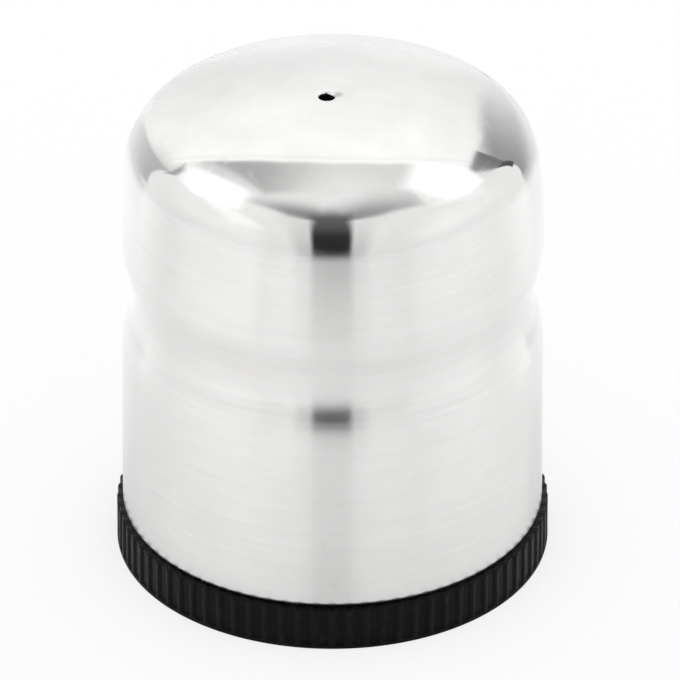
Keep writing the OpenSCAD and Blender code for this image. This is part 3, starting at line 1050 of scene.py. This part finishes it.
# %% Gaps and seams
card("gap_right", 0.36, 0.98, [(0.26, 0.49, 0.01), (0.55, 0.485, 0.02), (0.86, 0.535, 0.06),
                               (0.84, 0.66, 0.10), (0.70, 0.98, 0.10), (0.13, 0.97, 0.05)])
card("gap_left", 0.57, 0.98, [(-0.29, 0.42, 0.01), (-0.315, 0.62, 0.08), (-0.42, 1.05, 0.10),
                              (-0.62, 1.05, 0.12), (-0.84, 0.68, 0.08), (-0.89, 0.42, 0.03)])
card("seam_right", 0.08, 0.12, [(0.26, 0.462, 0.01), (0.57, 0.466, 0.02), (0.52, 0.512, 0.01),
                                (0.26, 0.512, 0.01)])
card("seam_end", 0.34, 0.20, [(0.262, 0.405, 0.01), (0.275, 0.405, 0.01), (0.335, 0.48, 0.01),
                              (0.33, 0.512, 0.01), (0.262, 0.512, 0.01)])
card("seam_left", 0.36, 0.48, [(-0.28, 0.42, 0.01), (-0.28, 0.47, 0.02), (-0.52, 0.395, 0.02)])
print(len(cards), "cards")

# %% [markdown]
# ### The opening in front
#
# The camera looks in through a slit. The cloth beside it is a little grey, and over it hangs a
# back wall with two dark bars that meet in a shallow V. The slit is the darkest thing that the
# steel can see, and it draws the dark block under the shoulder.

# %% Front and back wall
card("haze", 0.85, 0.93, [(-0.85, -1.08, 0.30), (0.90, -1.08, 0.30), (0.40, 0.24, 0.10),
                          (-0.26, 0.24, 0.30)])
card("halo", 0.62, 0.80, [(-0.38, -1.08, 0.12), (0.36, -1.08, 0.10), (0.14, 0.20, 0.02),
                          (-0.15, 0.20, 0.10)])
card("back_wall", 1.0, 0.68, [(-0.24, 0.30, 0.02), (-0.14, 0.18, 0.02), (0.0, 0.14, 0.02),
                              (0.14, 0.18, 0.06), (0.26, 0.42, 0.02), (0.26, 0.52, 0.02),
                              (-0.28, 0.52, 0.02)])
card("back_left", 0.46, 0.48, [(-0.29, 0.51, 0.02), (-0.14, 0.25, 0.04), (0.0, 0.25, 0.20),
                               (0.04, 0.47, 0.02)])
card("bar_right", 0.22, 0.75, [(-0.02, 0.135, 0.01), (0.03, 0.145, 0.01), (0.10, 0.176, 0.01),
                               (0.21, 0.252, 0.02), (0.15, 0.315, 0.08), (-0.02, 0.222, 0.02)])
card("bar_left", 0.18, 0.60, [(-0.205, 0.268, 0.01), (-0.10, 0.178, 0.01), (-0.03, 0.145, 0.01),
                              (0.02, 0.135, 0.02), (0.02, 0.205, 0.05), (-0.10, 0.252, 0.05),
                              (-0.20, 0.290, 0.01)])

# %% Slit
slit_end = [(0.050, 0.190, 0.045), (-0.056, 0.190, 0.04)]
card("slit", 0.012, 0.05, [(-0.205, -1.08, 0.09), (0.195, -1.08, 0.04)] + slit_end)
card("slit_top", 0.01, 0.12, [(-0.14, -0.60, 0.50), (0.13, -0.60, 0.04)] + slit_end)
print(len(cards), "cards")

# %% [markdown]
# ### Lights
#
# Two soft lights stand at the sides and burn out to white in two wedges. A third lies behind the
# crown. Its lower edge is a fine bright line with a darker one above it, like the hem of a
# stretched cloth, so it is laid three times, each time a little higher.

# %% Side lights
card("light_left", 1.14, 1.16, [(-0.30, -0.34, 0.07), (-0.19, 0.20, 0.02), (-0.19, 0.30, 0.02),
                                (-0.28, 0.47, 0.06), (-0.36, 0.36, 0.12), (-0.56, -0.30, 0.25)])
card("light_right", 1.0, 1.14, [(0.16, 0.24, 0.06), (0.62, 0.04, 0.30), (0.72, 0.15, 0.12),
                                (0.33, 0.41, 0.02), (0.27, 0.435, 0.01), (0.14, 0.40, 0.06)])
card("wedge_left", 1.35, 1.35, [(-0.150, 0.262, 0.015), (-0.28, 0.455, 0.01), (-0.31, 0.43, 0.06),
                                (-0.37, 0.26, 0.10), (-0.22, 0.17, 0.05)])
card("wedge_right", 1.35, 1.35, [(0.12, 0.275, 0.04), (0.36, 0.265, 0.08), (0.34, 0.38, 0.03),
                                 (0.272, 0.435, 0.01), (0.14, 0.39, 0.05)])

# %% Crown light and its hem
hem = [(-0.315, 0.482), (-0.20, 0.412), (-0.10, 0.370), (0.0, 0.354), (0.10, 0.364), (0.20, 0.398)]
for name, front_level, back_level, up in (
        ("edge", 1.2, 0.93, 0.0), ("line", 1.02, 0.93, 0.014), ("light", 1.15, 0.90, 0.022)):
    card("crown_" + name, front_level, back_level,
         [(x, y + up, 0.004) for x, y in hem] +
         [(0.270, 0.435 + up, 0.008), (0.275, 0.62, 0.05), (0.21, 0.98, 0.3), (-0.315, 1.05, 0.02)])
print(len(cards), "cards")

# %% [markdown]
# ## Camera
#
# The shaker is seen from a standing person's side of the table, 32 degrees above level. A long
# lens far away keeps the outline close to a plain drawing, as in a catalogue picture.

# %% Camera
camera = bpy.data.objects.new("camera", bpy.data.cameras.new("camera"))
bpy.context.scene.collection.objects.link(camera)
bpy.context.scene.camera = camera
look_down, away = math.radians(32.0), 1.5
aim = Vector((0.00082, 0, 0.02467))
back = Vector((0, -math.cos(look_down), math.sin(look_down)))
camera.location = aim + away * back
camera.rotation_mode = "QUATERNION"
camera.rotation_quaternion = (-back).to_track_quat("-Z", "Y")
camera.data.sensor_width = 36
camera.data.lens = 733
camera.data.clip_start, camera.data.clip_end = 0.05, 20
bpy.context.scene.view_settings.view_transform = "Standard"
print(f"camera {away} m away, {camera.data.lens:.0f} mm lens")

# %% [markdown]
#
# The last step prints the box round the finished pieces beside the box round the solids. A dressed
# piece may be a hair smaller than its solid and must never stick out of it.

low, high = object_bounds()
for label, pair in (("solids", (cad_low, cad_high)), ("pieces", (low, high))):
    print(label, [[round(v / MM, 3) for v in corner] for corner in pair])
